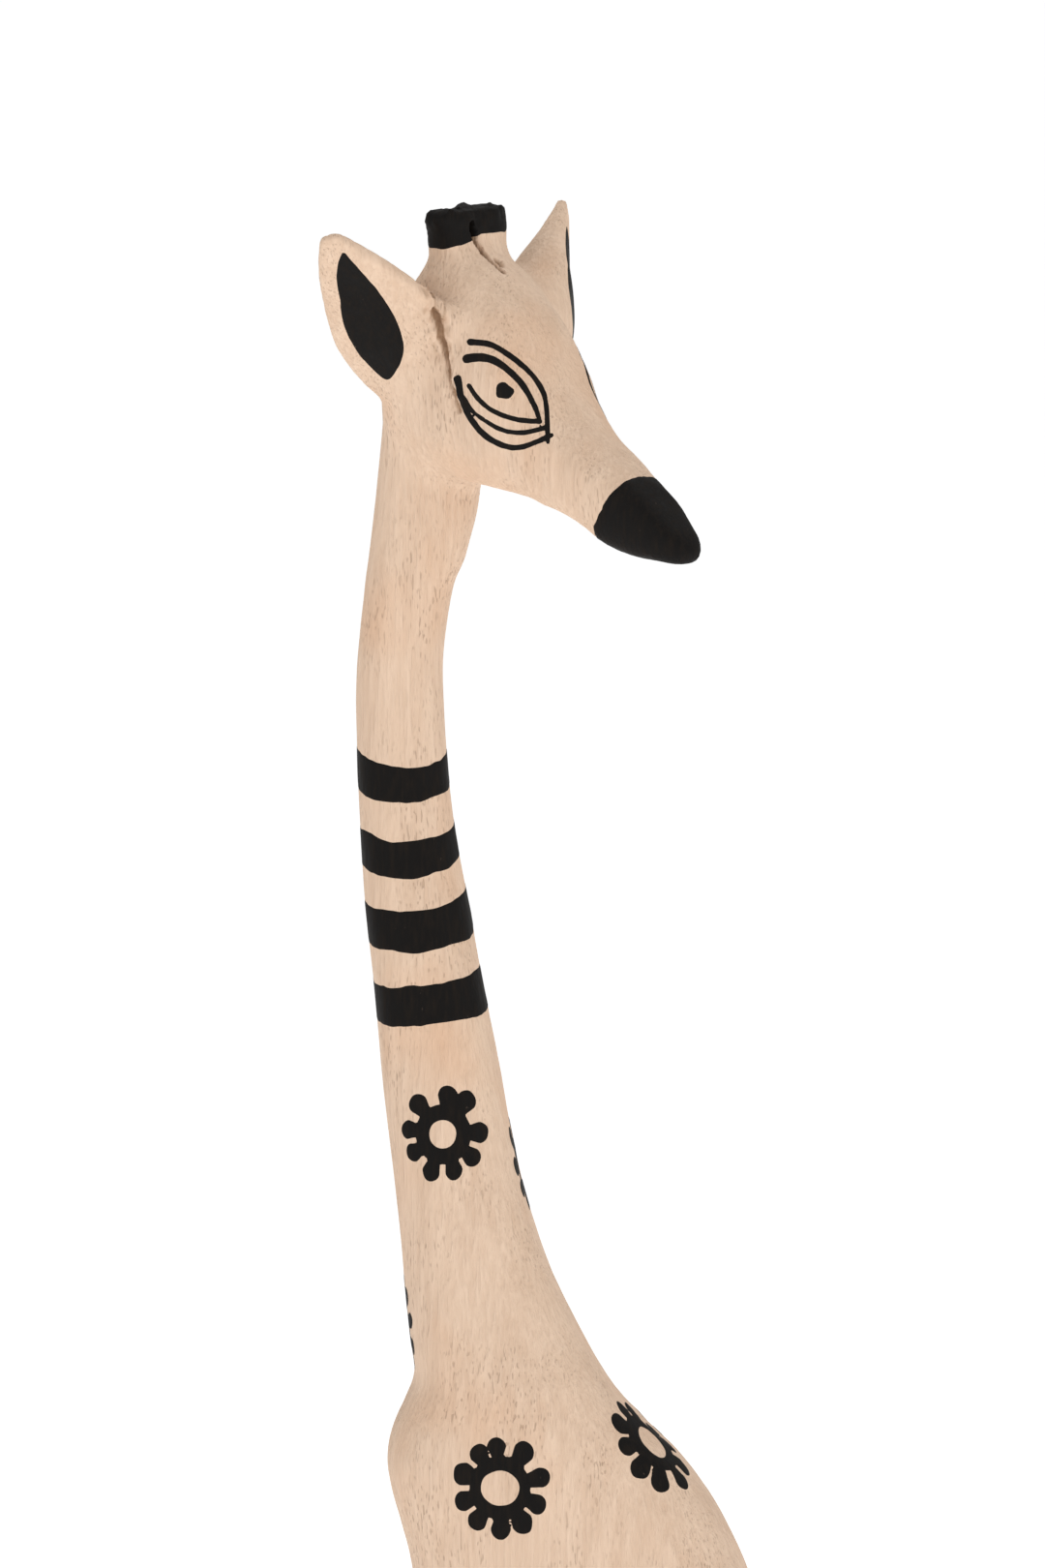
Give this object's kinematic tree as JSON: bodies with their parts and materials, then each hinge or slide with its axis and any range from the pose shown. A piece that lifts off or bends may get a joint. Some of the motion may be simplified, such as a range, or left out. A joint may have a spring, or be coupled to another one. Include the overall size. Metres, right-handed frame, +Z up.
{
  "type": "carved giraffe statue",
  "caption": "Tall hand-carved wooden giraffe statue on long thin legs, its head turned back over the body, with dark painted bands, flowers and eyes.",
  "frame": {"origin": "on the floor between the four hooves, in the middle plane of the trunk and under the middle of the statue's overall box", "axes": "+Z up, chest towards -X, tail towards +X, the statue's right side towards -Y, which is the side its head turns to"},
  "size_m": [0.1124, 0.0818, 0.6],
  "materials": {
    "carved_wood": "bare pale wood with fine upright grain, and matt near-black hand-painted marks",
    "leg_wood": "bare pale wood with near-black painted hooves",
    "dowel_wood": "bare round dowel",
    "painted_wood": "matt near-black paint over wood"
  },
  "bodies": {
    "root": {"main_carving": "carved_wood", "leg_front_right": "leg_wood", "leg_front_left": "leg_wood", "leg_rear_right": "leg_wood", "leg_rear_left": "leg_wood", "dowel_front_right": "dowel_wood", "dowel_front_left": "dowel_wood", "dowel_rear_right": "dowel_wood", "dowel_rear_left": "dowel_wood", "tail": "painted_wood"}
  },
  "joints": []
}
